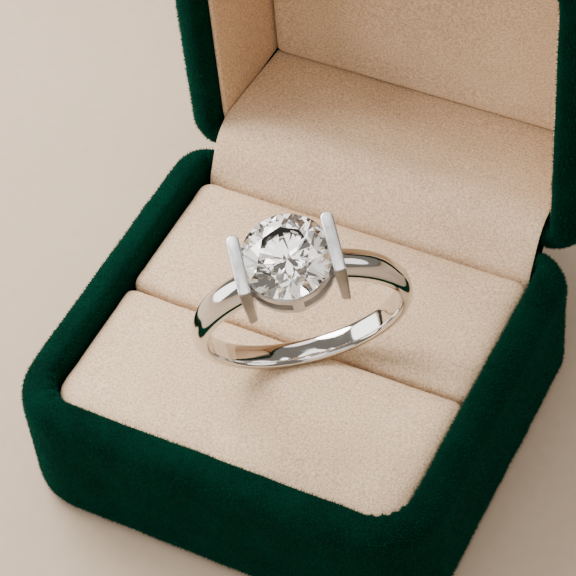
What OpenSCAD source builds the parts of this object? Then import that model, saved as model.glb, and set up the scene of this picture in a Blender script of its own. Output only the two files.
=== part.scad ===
// Bar set ring standing on the cushions of an open velvet ring box, in millimetres.
// Box axes: +X right along the front wall, +Y back to the hinge, +Z up.
// The origin is the middle of the base's flat underside.
// The ring is drawn on its own axes and then seated by ring_seat():
// X across the hoop, Y along the finger, Z from the middle of the finger hole to the stone.
// The lid is drawn closed and then swung back by lid_place().

/* [Box] */
// Outer width of the base and the lid
box_w = 42.5; // [41.5:0.1:45]
// Outer depth, from the front wall to the hinge wall
box_d = 37.4; // [37:0.1:40]
// Height of the base
base_h = 13.6; // [13.4:0.1:15]
// Height of the lid
lid_h = 16.45; // [16:0.05:19]
// Outer radius of the front corners, seen from above
front_corner_r = 6.5; // [6:0.1:8]
// Outer radius of the rear corners, seen from above
rear_corner_r = 3.5; // [3.4:0.1:4]
// Thickness of the padded walls
wall = 3.2; // [3.1:0.1:3.3]
// Thickness of the base's rear wall, behind the hinge cover
rear_wall = 1.7; // [1.5:0.1:1.8]
// Thickness of the base's floor
base_floor = 1.6; // [1.2:0.1:2]
// Thickness of the lid's top
lid_top = 2.4; // [2:0.1:2.6]
// Rounding of the outer edge of each rim
rim_out_r = 2.2; // [1.8:0.1:2.2]
// Rounding of the outer edge of each rim along the hinge
rim_rear_r = 0.8; // [0.6:0.1:0.9]
// Rounding of the inner edge of each rim
rim_in_r = 0.8; // [0.4:0.1:0.8]
// Rounding round the underside of the base and the top of the lid
foot_r = 1.2; // [1:0.1:1.8]

/* [Cushions] */
// Height of the cushions' flat top above the underside of the box
cushion_top = 11.9; // [11.4:0.1:12]
// Rounding of the cushions' top edges
cushion_r = 1; // [0.8:0.1:1.3]
// Radius of the rear cushion's two back corners, seen from above
cushion_back_r = 1.4; // [1.3:0.1:1.8]
// Distance from the front wall's inner face to the slot between the cushions
slot_from_front = 15.8; // [15:0.1:16.5]
// Width of the slot
slot_w = 0.3; // [0.2:0.1:0.4]
// Distance from the front wall's inner face to the back of the rear cushion
cushion_d = 31.2; // [31:0.1:31.2]

/* [Lining] */
// Thickness of the lid's wall lining
lining_t = 0.5; // [0.4:0.1:0.7]
// Depth from the lid's rim to the near edge of its lining
lining_recess = 1.95; // [1.5:0.05:2.5]
// Depth from the lid's rim to the face of its panel
panel_depth = 12.55; // [12:0.05:12.6]
// Width of the hinge cover
cover_w = 34.6; // [33:0.1:34.6]
// Thickness of the hinge cover
cover_t = 0.45; // [0.4:0.05:0.45]
// Height of the hinge cover's knee, where it leaves the rear cushion
cover_knee = 11.1; // [10.8:0.1:11.4]
// Slope of the hinge cover's rise over the hinge, in degrees
cover_rise = 59; // [57:1:60]
// Slope of the hinge cover's run down to the panel, in degrees
cover_fall = 5.3; // [4:0.1:6]
// Outer radius of the hinge cover's bend
cover_r = 1.3; // [1:0.1:2]
// Length of the hinge cover's tail behind the rear cushion
cover_tail = 2.6; // [2:0.1:4]

/* [Hinge] */
// Distance from the rear face to the hinge line, and from the rim down to it
hinge_in = 0.75; // [0.7:0.05:0.8]
// Distance from the hinge line to the face of the hinge cover
cover_off = 0.9; // [0.9:0.02:1]
// Radius of the hinge rod
rod_r = 0.35; // [0.3:0.05:0.35]
// Length of the hinge rod
rod_len = 26; // [20:1:30]

/* [Ring] */
// Inner diameter of the hoop, for the finger
finger_d = 17.3; // [16.9:0.1:17.7]
// Thickness of the shank at the bottom of the hoop
shank_t = 1.4; // [1.3:0.1:1.6]
// Radius of the shank's half round outside
dome_r = 1.25; // [1.2:0.05:1.35]
// Height of the middle of the shoulders' curve above the middle of the finger hole
shoulder_rise = 1.8; // [1.7:0.05:1.9]
// Outer radius of the shoulders' curve
shoulder_r = 9.38; // [9.3:0.02:9.5]

/* [Setting] */
// Length of each bar, along the finger
bar_l = 5.9; // [5.5:0.1:6.1]
// Thickness of each bar
bar_t = 1.06; // [1:0.02:1.2]
// Clear space between the two bars
bar_gap = 7; // [6.9:0.1:7.1]
// Height of the bars' top above the middle of the finger hole
bar_top = 13.3; // [13.2:0.05:13.5]
// Bevel along the bars' edges
bar_bevel = 0.14; // [0.08:0.02:0.2]
// Outer radius of the gallery's two rails
rail_r = 3.9; // [3.85:0.05:4]
// Thickness of the gallery's rails and posts
rail_t = 0.55; // [0.45:0.05:0.65]
// Width of the gallery's posts
post_w = 0.95; // [0.8:0.05:1.1]

/* [Stone] */
// Diameter of the stone's girdle
stone_d = 7.72; // [7.6:0.02:7.76]
// Height of the girdle's middle above the middle of the finger hole
girdle_z = 12.8; // [12.75:0.05:12.85]
// Table width as a share of the girdle
table_share = 0.57; // [0.53:0.01:0.6]
// Crown height as a share of the girdle
crown_share = 0.15; // [0.14:0.005:0.16]
// Pavilion depth as a share of the girdle
pavilion_share = 0.43; // [0.42:0.005:0.44]

/* [Seat of the ring] */
// Sideways place of the middle of the finger hole
ring_x = 3.58; // [2:0.1:5]
// Front-to-back place of the middle of the finger hole
ring_y = -3.34; // [-4.5:0.1:-2]
// Turn of the finger's direction from the box's front-to-back line
ring_turn = 38.75; // [34:0.5:44]
// Lean of the hoop towards its front
ring_lean = 17.1; // [14:0.5:20]
// Roll of the head to the hoop's left
ring_roll = 6.1; // [3:0.5:9]
// Depth that the shank sinks below the cushions' top
ring_sink = 0.3; // [0.2:0.05:0.4]

/* [Hidden] */
$fn = 96;

// Clear space left between pieces that touch or nearly touch
gap = 0.1;
// Play between the rims of the base and the closed lid
seam = 0.1;
inner_w = box_w - 2 * wall;
inner_d = box_d - 2 * wall;
front_r = front_corner_r - wall;
rear_r = rear_corner_r - wall;
wall_front = -inner_d / 2;
wall_back = inner_d / 2;
slot_y = wall_front + slot_from_front;
hinge_y = box_d / 2 - hinge_in;
hinge_z = base_h - hinge_in;

// The lid stands open at a right angle
lid_open = 90;

// Half widths of the lid's lining and panel
lining_x = inner_w / 2 - gap;
panel_x = lining_x - lining_t - gap;
panel_t = lid_h - lid_top - panel_depth - gap;

// Hinge cover as it lies with the lid open, in Y and Z: from its knee it rises to the corner
// where its two slopes meet, and from there it runs down to the crease at the panel
rise_way = [cos(cover_rise), sin(cover_rise)];
run_way = [cos(cover_fall), -sin(cover_fall)];
knee = [hinge_y - cover_off / sin(cover_rise) + (cover_knee - hinge_z) / tan(cover_rise), cover_knee];
crease = [box_d / 2 + panel_depth, hinge_z + wall - hinge_in + gap];
span = crease - knee;
cover_turn = cover_rise + cover_fall;
rise_len = (span[0] * sin(cover_fall) + span[1] * cos(cover_fall)) / sin(cover_turn);

// Hoop, measured on the ring's own axes
finger_r = finger_d / 2;
bar_mid = (bar_gap + bar_t) / 2;
hoop_r = finger_r + shank_t;
// Depth that the shank's section is drawn to, before the finger hole is cut
section_depth = 2.9;
// The shoulders' half round is a little smaller, so that they grow out of the hoop
shoulder_dome = dome_r - 0.05;

// Gallery heights above the middle of the finger hole
rail_top = 12.55;
rail_gap_top = 11.8;
rail_gap_low = 10.5;
rail_low = 9.85;

// Stone heights and radii
girdle_h = 0.03 * stone_d;
girdle_r = stone_d / 2;
table_r = girdle_r * table_share;
crown_top = girdle_z + girdle_h / 2 + crown_share * stone_d;
crown_low = girdle_z + girdle_h / 2;
pavilion_top = girdle_z - girdle_h / 2;
culet_z = pavilion_top - pavilion_share * stone_d;
stone_room = 0.06;

// Leaf shaped window in each shoulder, beside its bar
leaf_tip = [5.5, 7.75];
leaf_r = 1.7;
leaf_turns = [113, 187];

// Height of the finger hole's middle above the shank's lowest point, on the leaning hoop
hoop_down = [sin(ring_roll) * cos(ring_lean), cos(ring_roll) * cos(ring_lean)];
hoop_drop = (hoop_r - dome_r) * norm(hoop_down) + dome_r;
ring_z = cushion_top - ring_sink + hoop_drop;

// Moves the ring from its own axes to its seat on the cushions
module ring_seat() {
    translate([ring_x, ring_y, ring_z])
        rotate([0, 0, ring_turn])
            rotate([ring_lean, 0, 0])
                rotate([0, -ring_roll, 0])
                    children();
}

// Swings a piece of the closed lid back about the hinge
module lid_place() {
    translate([0, hinge_y, hinge_z])
        rotate([-lid_open, 0, 0])
            translate([0, -hinge_y, -hinge_z])
                children();
}

// Extrudes a profile of Y and Z along X, half to each side
module along_x(length) {
    translate([-length / 2, 0, 0])
        rotate([90, 0, 90])
            linear_extrude(length)
                children();
}

// Rectangle with round corners, centred
module round_rect(w, d, r) {
    union() {
        square([w - 2 * r, d], center = true);
        square([w, d - 2 * r], center = true);
        for (x = [-1, 1], y = [-1, 1])
            translate([x * (w / 2 - r), y * (d / 2 - r)])
                circle(r);
    }
}

// Profile of a padded wall, from its inner face outwards:
// round foot outside, round rim on both edges
module wall_profile(h, rim) {
    intersection() {
        square([wall, h]);
        union() {
            translate([0, foot_r])
                square([wall, h - foot_r - rim]);
            square([wall - foot_r, foot_r]);
            translate([rim_in_r, foot_r])
                square([wall - rim_in_r - rim, h - foot_r]);
            translate([wall - foot_r, foot_r])
                circle(foot_r);
            translate([rim_in_r, h - rim_in_r])
                circle(rim_in_r);
            translate([0, foot_r])
                square([rim_in_r, h - foot_r - rim_in_r]);
            translate([wall - rim, h - rim])
                intersection() {
                    circle(rim);
                    translate([rim_in_r + rim - wall, -rim])
                        square([wall - rim_in_r, 2 * rim]);
                }
        }
    }
}

// Straight wall along +Y, with its inner face on X = 0 and its outside towards +X
module wall_run(length, h, rim) {
    rotate([90, 0, 0])
        translate([0, 0, -length])
            linear_extrude(length)
                wall_profile(h, rim);
}

// Quarter turn of wall round an inner corner of radius r, from +X to +Y
module wall_corner(r, h) {
    rotate_extrude(angle = 90)
        translate([r, 0])
            wall_profile(h, rim_out_r);
}

// Open tray: four walls and four corners on a floor
module tray(h, floor_t) {
    front_x = inner_w / 2 - front_r;
    rear_x = inner_w / 2 - rear_r;
    for (side = [0, 1])
        mirror([side, 0, 0]) {
            translate([inner_w / 2, wall_front + front_r, 0])
                wall_run(inner_d - front_r - rear_r, h, rim_out_r);
            translate([front_x, wall_front + front_r, 0])
                rotate([0, 0, 270])
                    wall_corner(front_r, h);
            translate([rear_x, wall_back - rear_r, 0])
                wall_corner(rear_r, h);
        }
    translate([-front_x, wall_front, 0])
        rotate([0, 0, 270])
            wall_run(2 * front_x, h, rim_out_r);
    translate([rear_x, wall_back, 0])
        rotate([0, 0, 90])
            wall_run(2 * rear_x, h, rim_rear_r);
    linear_extrude(floor_t)
        union() {
            translate([-front_x, wall_front])
                square([2 * front_x, inner_d]);
            translate([-inner_w / 2, wall_front + front_r])
                square([inner_w, inner_d - front_r - rear_r]);
            translate([-rear_x, wall_front + front_r])
                square([2 * rear_x, inner_d - front_r]);
            for (x = [-1, 1]) {
                translate([x * front_x, wall_front + front_r])
                    circle(front_r);
                translate([x * rear_x, wall_back - rear_r])
                    circle(rear_r);
            }
        }
}

module base_shell() {
    // room for the rear cushion's back edge and the hinge cover's tail
    room_front = wall_back - 2 * rear_r;
    color("darkgreen")
        difference() {
            tray(base_h, base_floor);
            translate([-inner_w / 2 - gap, room_front, base_floor])
                cube([inner_w + 2 * gap, box_d / 2 - rear_wall - room_front, base_h]);
            cover_room();
            hinge_groove();
        }
}

// Round groove for the hinge rod, open to the top and the rear
module hinge_groove() {
    along_x(rod_len + 4 * gap)
        translate([hinge_y, hinge_z])
            union() {
                circle(rod_r + gap);
                translate([-cover_off, 0])
                    square([cover_off + 2 * hinge_in, 2 * hinge_in]);
            }
}

module hinge_rod() {
    color("gray")
        translate([0, hinge_y, hinge_z])
            rotate([0, 90, 0])
                cylinder(r = rod_r, h = rod_len, center = true);
}

// Cushion of a given depth, from its slot edge at Y = 0 towards -Y.
// Its top edges are round, and far_r is the radius of its two far corners from above.
module cushion(depth, far_r) {
    r = cushion_r;
    half = inner_w / 2 - gap;
    bottom = base_floor + gap;
    rise = cushion_top - r;
    far_x = half - far_r;
    far_y = far_r - depth;
    translate([0, 0, bottom])
        linear_extrude(rise - bottom)
            union() {
                translate([-half, far_y])
                    square([2 * half, -r - far_y]);
                translate([-far_x, -depth])
                    square([2 * far_x, depth]);
                translate([r - half, -r])
                    square([2 * (half - r), r]);
                for (x = [-1, 1]) {
                    translate([x * far_x, far_y])
                        circle(far_r);
                    translate([x * (half - r), -r])
                        circle(r);
                }
            }
    translate([0, 0, rise])
        linear_extrude(r)
            union() {
                translate([r - half, far_y])
                    square([2 * (half - r), -r - far_y]);
                translate([-far_x, r - depth])
                    square([2 * far_x, depth - 2 * r]);
                if (far_r > r)
                    for (x = [-1, 1])
                        translate([x * far_x, far_y])
                            circle(far_r - r);
            }
    translate([0, -r, rise])
        rotate([0, 90, 0])
            cylinder(r = r, h = 2 * (half - r), center = true);
    translate([0, r - depth, rise])
        rotate([0, 90, 0])
            cylinder(r = r, h = 2 * far_x, center = true);
    for (x = [-1, 1]) {
        translate([x * (half - r), -r, rise])
            rotate([90, 0, 0])
                cylinder(r = r, h = -r - far_y);
        translate([x * (half - r), -r, rise])
            sphere(r);
        translate([x * far_x, far_y, rise])
            rotate([0, 0, x > 0 ? 270 : 180])
                rotate_extrude(angle = 90)
                    intersection() {
                        translate([far_r - r, 0])
                            circle(r);
                        translate([0, -r])
                            square([far_r, 2 * r]);
                    }
    }
}

// What the shank presses out of the cushions
module ring_groove() {
    ring_seat()
        rotate([90, 0, 0])
            rotate_extrude()
                translate([hoop_r - dome_r, 0])
                    circle(dome_r + gap);
}

module front_pad() {
    color("bisque")
        difference() {
            translate([0, slot_y - slot_w / 2, 0])
                cushion(slot_from_front - slot_w / 2 - gap, front_r - gap);
            ring_groove();
        }
}

module rear_pad() {
    color("bisque")
        difference() {
            translate([0, slot_y + slot_w / 2, 0])
                mirror([0, 1, 0])
                    cushion(cushion_d - slot_from_front - slot_w / 2, cushion_back_r);
            ring_groove();
        }
}

// Fabric strip from behind the rear cushion, over the hinge, to the lid's panel
module hinge_cover() {
    straight = rise_len - cover_r * tan(cover_turn / 2);
    bend = knee + straight * rise_way + cover_r * [rise_way[1], -rise_way[0]];
    steps = 10;
    turns = [for (i = [0:steps]) 90 + cover_rise - i * cover_turn / steps];
    inner_knee = knee + cover_t * [1, -tan(45 - cover_rise / 2)];
    outside = concat([knee - [0, cover_tail], knee],
                     [for (a = turns) bend + cover_r * [cos(a), sin(a)]], [crease]);
    inside = concat([crease + cover_t * [run_way[1], -run_way[0]]],
                    [for (i = [steps:-1:0]) bend + (cover_r - cover_t) * [cos(turns[i]), sin(turns[i])]],
                    [inner_knee, knee + [cover_t, -cover_tail]]);
    color("tan")
        along_x(cover_w)
            polygon(concat(outside, inside));
}

// Room that both shells leave in front of and above the hinge cover's back
module cover_room() {
    room = cover_t + gap;
    start = knee + room * [rise_way[1], -rise_way[0]];
    corner = start + (rise_len - room * tan(cover_turn / 2)) * rise_way;
    end = crease + room * [run_way[1], -run_way[0]];
    back = crease[0] + gap;
    top = hinge_z + 2 * wall;
    along_x(cover_w + 4 * gap)
        polygon([start, corner, end, [back, end[1]], [back, top], [start[0], top]]);
}

module lid_shell() {
    lined_from = base_h + seam + lining_recess - gap;
    color("darkgreen")
        difference() {
            lid_place()
                difference() {
                    translate([0, 0, base_h + seam + lid_h])
                        mirror([0, 0, 1])
                            tray(lid_h, lid_top);
                    // square corners inside, for the lining
                    translate([-inner_w / 2, wall_front, lined_from])
                        cube([inner_w, inner_d, base_h + seam + lid_h - lid_top - lined_from]);
                }
            cover_room();
        }
}

// Lining on the lid's two side walls and its front wall
module lid_lining() {
    front = wall_front + gap;
    color("tan")
        lid_place()
            translate([0, 0, base_h + seam + lining_recess])
                linear_extrude(lid_h - lid_top - lining_recess - gap)
                    difference() {
                        translate([-lining_x, front])
                            square([2 * lining_x, inner_d - 2 * gap]);
                        translate([-lining_x + lining_t, front + lining_t])
                            square([2 * (lining_x - lining_t), inner_d]);
                    }
}

module lid_panel() {
    front = wall_front + gap + lining_t + gap;
    color("tan")
        lid_place()
            translate([-panel_x, front, base_h + seam + panel_depth])
                cube([2 * panel_x, wall_back - gap - front, panel_t]);
}

// Round band across the hoop, with an outer radius and a half round outside
module band(outer_r, round_r) {
    rotate([90, 0, 0])
        rotate_extrude()
            union() {
                translate([outer_r - round_r, 0])
                    circle(round_r);
                translate([outer_r - section_depth, -round_r])
                    square([section_depth - round_r, 2 * round_r]);
            }
}

// Hoop with shoulders that rise out of it to the middle of the bars
module shank() {
    difference() {
        union() {
            band(hoop_r, dome_r);
            translate([0, 0, shoulder_rise])
                band(shoulder_r, shoulder_dome);
        }
        translate([-bar_mid, -bar_l, 0])
            cube([2 * bar_mid, 2 * bar_l, bar_top]);
    }
}

// Flat bar with bevelled edges, standing beside the stone
module bar() {
    rise = bar_top;
    b = bar_bevel;
    intersection() {
        linear_extrude(rise)
            round_rect(bar_t, bar_l, bar_t / 2 - b);
        rotate([90, 0, 0])
            linear_extrude(bar_l, center = true)
                polygon([[-bar_t / 2, 0], [bar_t / 2, 0], [bar_t / 2, rise - b], [bar_t / 2 - b, rise],
                         [b - bar_t / 2, rise], [-bar_t / 2, rise - b]]);
        along_x(bar_t)
            polygon([[-bar_l / 2, 0], [bar_l / 2, 0], [bar_l / 2, rise - b], [bar_l / 2 - b, rise],
                     [b - bar_l / 2, rise], [-bar_l / 2, rise - b]]);
    }
}

// Round gallery under the stone: two rails, and a post at front and back
module gallery() {
    for (z = [[rail_low, rail_gap_low], [rail_gap_top, rail_top]])
        rotate_extrude()
            translate([rail_r - rail_t, z[0]])
                square([rail_t, z[1] - z[0]]);
    for (y = [-1, 1])
        translate([-post_w / 2, y * (rail_r - rail_t / 2) - rail_t / 2, rail_low])
            cube([post_w, rail_t, rail_top - rail_low - rail_t]);
}

// Room that the stone takes out of the rails and the bars
module stone_seat() {
    rotate_extrude()
        polygon([[0, culet_z - stone_room], [girdle_r + stone_room, pavilion_top - stone_room],
                 [girdle_r + stone_room, crown_low + stone_room], [table_r, crown_top + stone_room],
                 [0, crown_top + stone_room]]);
}

module ring_mount() {
    color("silver")
        ring_seat()
            difference() {
                union() {
                    shank();
                    for (x = [-1, 1])
                        translate([x * bar_mid, 0, 0])
                            bar();
                    gallery();
                }
                rotate([90, 0, 0])
                    cylinder(r = finger_r, h = 2 * bar_l, center = true);
                for (side = [0, 1])
                    mirror([side, 0, 0])
                        leaf_window();
                stone_seat();
            }
}

// Leaf shaped window: what two discs through its tip share, outside the bar
module leaf_window() {
    rotate([90, 0, 0])
        linear_extrude(4 * dome_r, center = true)
            intersection() {
                translate([bar_mid + bar_t / 2, 0])
                    square([leaf_r, bar_top]);
                for_leaf(0);
                for_leaf(1);
            }
}

module for_leaf(i) {
    translate(leaf_tip + leaf_r * [cos(leaf_turns[i]), sin(leaf_turns[i])])
        circle(leaf_r);
}

// Round brilliant: table, eight stars, eight kites and sixteen girdle facets above,
// sixteen girdle facets and eight long mains below
module stone() {
    star_r = (table_r * cos(22.5) + girdle_r) / 2;
    star_z = crown_top - (crown_top - crown_low) * (star_r * cos(22.5) - table_r) / (girdle_r - table_r);
    low_r = 0.22 * girdle_r;
    low_z = culet_z + (pavilion_top - culet_z) * low_r * cos(22.5) / girdle_r;
    // rings of points: table, stars, girdle above, girdle below, pavilion, culet
    points = concat(
        [for (k = [0:7]) [table_r * cos(45 * k), table_r * sin(45 * k), crown_top]],
        [for (k = [0:7]) [star_r * cos(45 * k + 22.5), star_r * sin(45 * k + 22.5), star_z]],
        [for (k = [0:15]) [girdle_r * cos(22.5 * k), girdle_r * sin(22.5 * k), crown_low]],
        [for (k = [0:15]) [girdle_r * cos(22.5 * k), girdle_r * sin(22.5 * k), pavilion_top]],
        [for (k = [0:7]) [low_r * cos(45 * k + 22.5), low_r * sin(45 * k + 22.5), low_z]],
        [[0, 0, culet_z]]);
    table = 0;
    star = 8;
    high = 16;
    low = 32;
    main = 48;
    culet = 56;
    faces = concat(
        [[for (k = [7:-1:0]) table + k]],
        [for (k = [0:7]) [table + k, table + (k + 1) % 8, star + k]],
        [for (k = [0:7]) [table + k, star + k, high + 2 * k, star + (k + 7) % 8]],
        [for (k = [0:7]) [star + k, high + 2 * k + 1, high + 2 * k]],
        [for (k = [0:7]) [star + k, high + (2 * k + 2) % 16, high + 2 * k + 1]],
        [for (k = [0:15]) [high + k, high + (k + 1) % 16, low + (k + 1) % 16, low + k]],
        [for (k = [0:7]) [low + 2 * k, low + 2 * k + 1, main + k]],
        [for (k = [0:7]) [low + 2 * k + 1, low + (2 * k + 2) % 16, main + k]],
        [for (k = [0:7]) [low + 2 * k, main + k, culet, main + (k + 7) % 8]]);
    color("white")
        ring_seat()
            polyhedron(points, faces, convexity = 2);
}

ring_mount();
stone();
base_shell();
front_pad();
rear_pad();
hinge_rod();
hinge_cover();
lid_shell();
lid_lining();
lid_panel();
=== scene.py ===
import math

import bmesh
import bpy
import numpy as np
from mathutils import Matrix, Vector, noise


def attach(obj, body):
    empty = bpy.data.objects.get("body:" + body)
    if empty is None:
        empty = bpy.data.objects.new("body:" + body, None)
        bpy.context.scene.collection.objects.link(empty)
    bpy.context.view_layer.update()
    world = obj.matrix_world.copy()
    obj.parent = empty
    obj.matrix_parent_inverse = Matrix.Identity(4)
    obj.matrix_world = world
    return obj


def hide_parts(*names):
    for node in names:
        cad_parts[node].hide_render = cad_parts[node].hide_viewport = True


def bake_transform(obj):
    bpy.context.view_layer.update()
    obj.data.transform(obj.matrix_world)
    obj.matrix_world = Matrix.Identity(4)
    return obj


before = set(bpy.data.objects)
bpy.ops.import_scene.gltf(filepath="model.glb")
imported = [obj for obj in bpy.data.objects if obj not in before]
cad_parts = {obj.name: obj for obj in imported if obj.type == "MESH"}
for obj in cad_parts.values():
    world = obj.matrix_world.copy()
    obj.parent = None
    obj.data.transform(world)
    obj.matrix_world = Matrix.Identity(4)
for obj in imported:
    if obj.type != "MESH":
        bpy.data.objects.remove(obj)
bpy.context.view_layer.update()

# Sizes are in millimetres, in the box's own axes: X right, Y back to the hinge, Z up.
mm = 0.001


def moved(matrix, points):
    m = np.array(matrix, float)
    return np.asarray(points, float) @ m[:3, :3].T + m[:3, 3]


def addObject(name, data):
    thing = bpy.data.objects.new(name, data)
    bpy.context.scene.collection.objects.link(thing)
    return thing


def addPiece(name, points, faces):
    mesh = bpy.data.meshes.new(name)
    mesh.from_pydata([tuple(p) for p in np.asarray(points, float) * mm], [], faces)
    outward(mesh)
    shadeSmooth(mesh)
    return addObject(name, mesh)


def outward(mesh):
    work = bmesh.new()
    work.from_mesh(mesh)
    bmesh.ops.recalc_face_normals(work, faces=work.faces)
    work.to_mesh(mesh)
    work.free()


def shadeSmooth(mesh):
    mesh.polygons.foreach_set("use_smooth", [True] * len(mesh.polygons))


def creased(piece, degrees):
    shadeSmooth(piece.data)
    piece.data.set_sharp_from_angle(angle=math.radians(degrees))


def coords(mesh):
    co = np.empty(len(mesh.vertices) * 3)
    mesh.vertices.foreach_get("co", co)
    return co.reshape(-1, 3) / mm


def setCoords(mesh, co):
    mesh.vertices.foreach_set("co", (np.asarray(co) * mm).ravel())
    mesh.update()


def angles(first, last, count):
    return np.radians(np.linspace(first, last, count))


def onCircle(radius, degrees):
    return radius * math.cos(math.radians(degrees)), radius * math.sin(math.radians(degrees))


# A sine or cosine raised to a power, sign kept: it squares or thins a round section.
def shaped(value, power):
    return math.copysign(abs(value) ** power, value)


def softStep(a, b, x):
    u = min(max((x - a) / (b - a), 0), 1)
    return u * u * (3 - 2 * u)


def atHeight(flat, z):
    return np.column_stack([flat, np.full(len(flat), z)])


# Skins closed loops of the same count into one closed solid; ring=True joins the last loop to the first.
def loft(loops, ring=False):
    n, count = len(loops[0]), len(loops)
    points, faces = [p for loop in loops for p in loop], []
    for i in range(count if ring else count - 1):
        a, b = i * n, (i + 1) % count * n
        faces += [(a + k, a + (k + 1) % n, b + (k + 1) % n, b + k) for k in range(n)]
    if not ring:
        for start in (0, (count - 1) * n):
            points.append(np.mean(points[start:start + n], axis=0))
            faces += [(len(points) - 1, start + k, start + (k + 1) % n) for k in range(n)]
    return points, faces


# Rounded rectangle, counterclockwise from the front right corner.
# The radii are those of the front right, back right, back left and front left corners.
def roundRect(x0, x1, y0, y1, radii, cornerSteps, sideSteps):
    corners = []
    spots = [(x1, y0, -1, 1), (x1, y1, -1, -1), (x0, y1, 1, -1), (x0, y0, 1, 1)]
    for k, (x, y, sx, sy) in enumerate(spots):
        r = radii[k]
        turn = np.radians(np.linspace(-90, 0, cornerSteps) + 90 * k)
        corners.append(np.stack([x + sx * r + r * np.cos(turn), y + sy * r + r * np.sin(turn)], 1))
    loop = []
    for k in range(4):
        loop += list(corners[k])
        a, b = corners[k][-1], corners[(k + 1) % 4][0]
        loop += [a + (b - a) * t for t in np.linspace(0, 1, sideSteps[k % 2] + 2)[1:-1]]
    return np.array(loop)


def fromModifiers(piece):
    graph = bpy.context.evaluated_depsgraph_get()
    mesh = bpy.data.meshes.new_from_object(piece.evaluated_get(graph))
    piece.modifiers.clear()
    old, piece.data = piece.data, mesh
    bpy.data.meshes.remove(old)
    mesh.name = piece.name
    return piece


def subtract(piece, tool):
    cut = piece.modifiers.new("cut", "BOOLEAN")
    cut.operation, cut.solver, cut.object = "DIFFERENCE", "EXACT", tool
    bpy.context.view_layer.update()
    fromModifiers(piece)
    bpy.data.objects.remove(tool)


def joined(name, parts):
    work = bmesh.new()
    for part in parts:
        work.from_mesh(part.data)
        bpy.data.objects.remove(part)
    mesh = bpy.data.meshes.new(name)
    work.to_mesh(mesh)
    work.free()
    return addObject(name, mesh)


box = dict(width=42.5, depth=37.4, base=13.6, lid=16.45, corner=6.5, rearCorner=3.5, wall=3.2, rearWall=1.7,
           floor=1.6, lidTop=2.4, rim=2.3, rimInner=0.85, rimGap=0.1, foot=1.2, leastRadius=0.4,
           softness=0.07, coarse=0.35, fine=1.1, pucker=0.1, gathers=22, gatherFrom=3.2, gatherFade=2.2)
# The velvet passes the hinge rod at the radius over, for half to either side.
hinge = dict(y=17.95, z=12.85, over=0.54, half=13.6, behind=0.15)


# Wall section as (inset from the outside, height), from under the foot, over the rim and down inside.
def wallSection(height, floor):
    w, rim, inner, foot = box["wall"], box["rim"], box["rimInner"], box["foot"]
    flat = (17.0, 13.0, 9.0, 5.5)  # insets of the rows across the floor
    line = [(x, 0) for x in flat + (w,)]
    line += [(foot - foot * math.sin(a), foot - foot * math.cos(a)) for a in angles(0, 90, 9)]
    line += [(0, z) for z in np.linspace(foot, height - rim, 26)[1:-1]]
    line += [(rim - rim * math.cos(a), height - rim + rim * math.sin(a)) for a in angles(0, 90, 10)]
    line += [(x, height) for x in np.linspace(rim, w - inner, 4)[1:-1]]
    line += [(w - inner + inner * math.sin(a), height - inner + inner * math.cos(a))
             for a in angles(0, 90, 8)]
    line += [(w, z) for z in np.linspace(height - inner, floor, 14)[1:]]
    return line + [(x, floor) for x in reversed(flat)]


# Padded velvet tray, with small gathers at the front corners. rear is the wall on the hinge side.
def velvetTray(name, height, floor, rear, seed):
    w, least, loops = box["wall"], box["leastRadius"], []
    for inset, z in wallSection(height, floor):
        back = min(inset, w) * rear / w + max(inset - w, 0)
        front = max(box["corner"] - inset, least)
        rearR = max(box["rearCorner"] - inset, least)
        x, y = box["width"] / 2 - inset, box["depth"] / 2
        radii = [front, rearR, rearR, front]
        flat = roundRect(-x, x, inset - y, y - back, radii, cornerSteps=32, sideSteps=(70, 76))
        loops.append(atHeight(flat, z))
    piece = addPiece(name, *loft(loops))
    co = coords(piece.data)
    normal = np.array([v.normal for v in piece.data.vertices])
    x, y = np.abs(co[:, 0]), -co[:, 1]
    cornerX, cornerY = box["width"] / 2 - box["corner"], box["depth"] / 2 - box["corner"]
    angle = np.arctan2(y - cornerY, x - cornerX)
    far = np.hypot(x - cornerX, y - cornerY)
    inCorner = (x > cornerX) & (y > cornerY) & (co[:, 2] > height * 0.5)
    fade = np.clip(1 - (far - box["gatherFrom"]) / box["gatherFade"], 0, 1) * inCorner
    gather = np.cos(angle * box["gathers"] + 3 * np.sign(co[:, 0])) * np.sin(2 * np.clip(angle, 0, 1.57))
    push = box["softness"] * np.array([noise.noise(Vector(p) * box["coarse"] + Vector((seed, 0, 0)))
                                       + 0.5 * noise.noise(Vector(p) * box["fine"]) for p in co])
    push += box["pucker"] * fade * gather
    push[co[:, 2] < 0.01] = 0
    setCoords(piece.data, co + normal * push[:, None])
    return piece


print("velvet shells")
baseVelvet = velvetTray("baseVelvet", box["base"], box["floor"], box["rearWall"], 0)
lidVelvet = velvetTray("lidVelvet", box["lid"], box["lidTop"], box["wall"], 9)
# The lid is shaped like the base, and then stood open behind it, where the hinge holds it.
rimPlane = box["base"] + box["rimGap"]
lidFlip = Matrix(((1, 0, 0, 0), (0, 0, -1, hinge["y"] - hinge["z"] + rimPlane + box["lid"]),
                  (0, -1, 0, hinge["y"] + hinge["z"]), (0, 0, 0, 1)))
setCoords(lidVelvet.data, moved(lidFlip, coords(lidVelvet.data)))
outward(lidVelvet.data)

cover = dict(halfWidth=17.38, thickness=0.45, kneeY=15.85, kneeZ=11.1, rise=59.0, fall=5.3, creaseY=31.25,
             creaseZ=15.4, tuckedTo=32.0, tuckDrop=0.04, tail=2.6, kneeSoft=1.3, bendSoft=3.0, clear=0.12,
             wave=0.07, waveAcross=0.13, waveAlong=0.2, rows=121, edge=0.3, edgeDrop=0.08, edgeThin=0.12)


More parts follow.
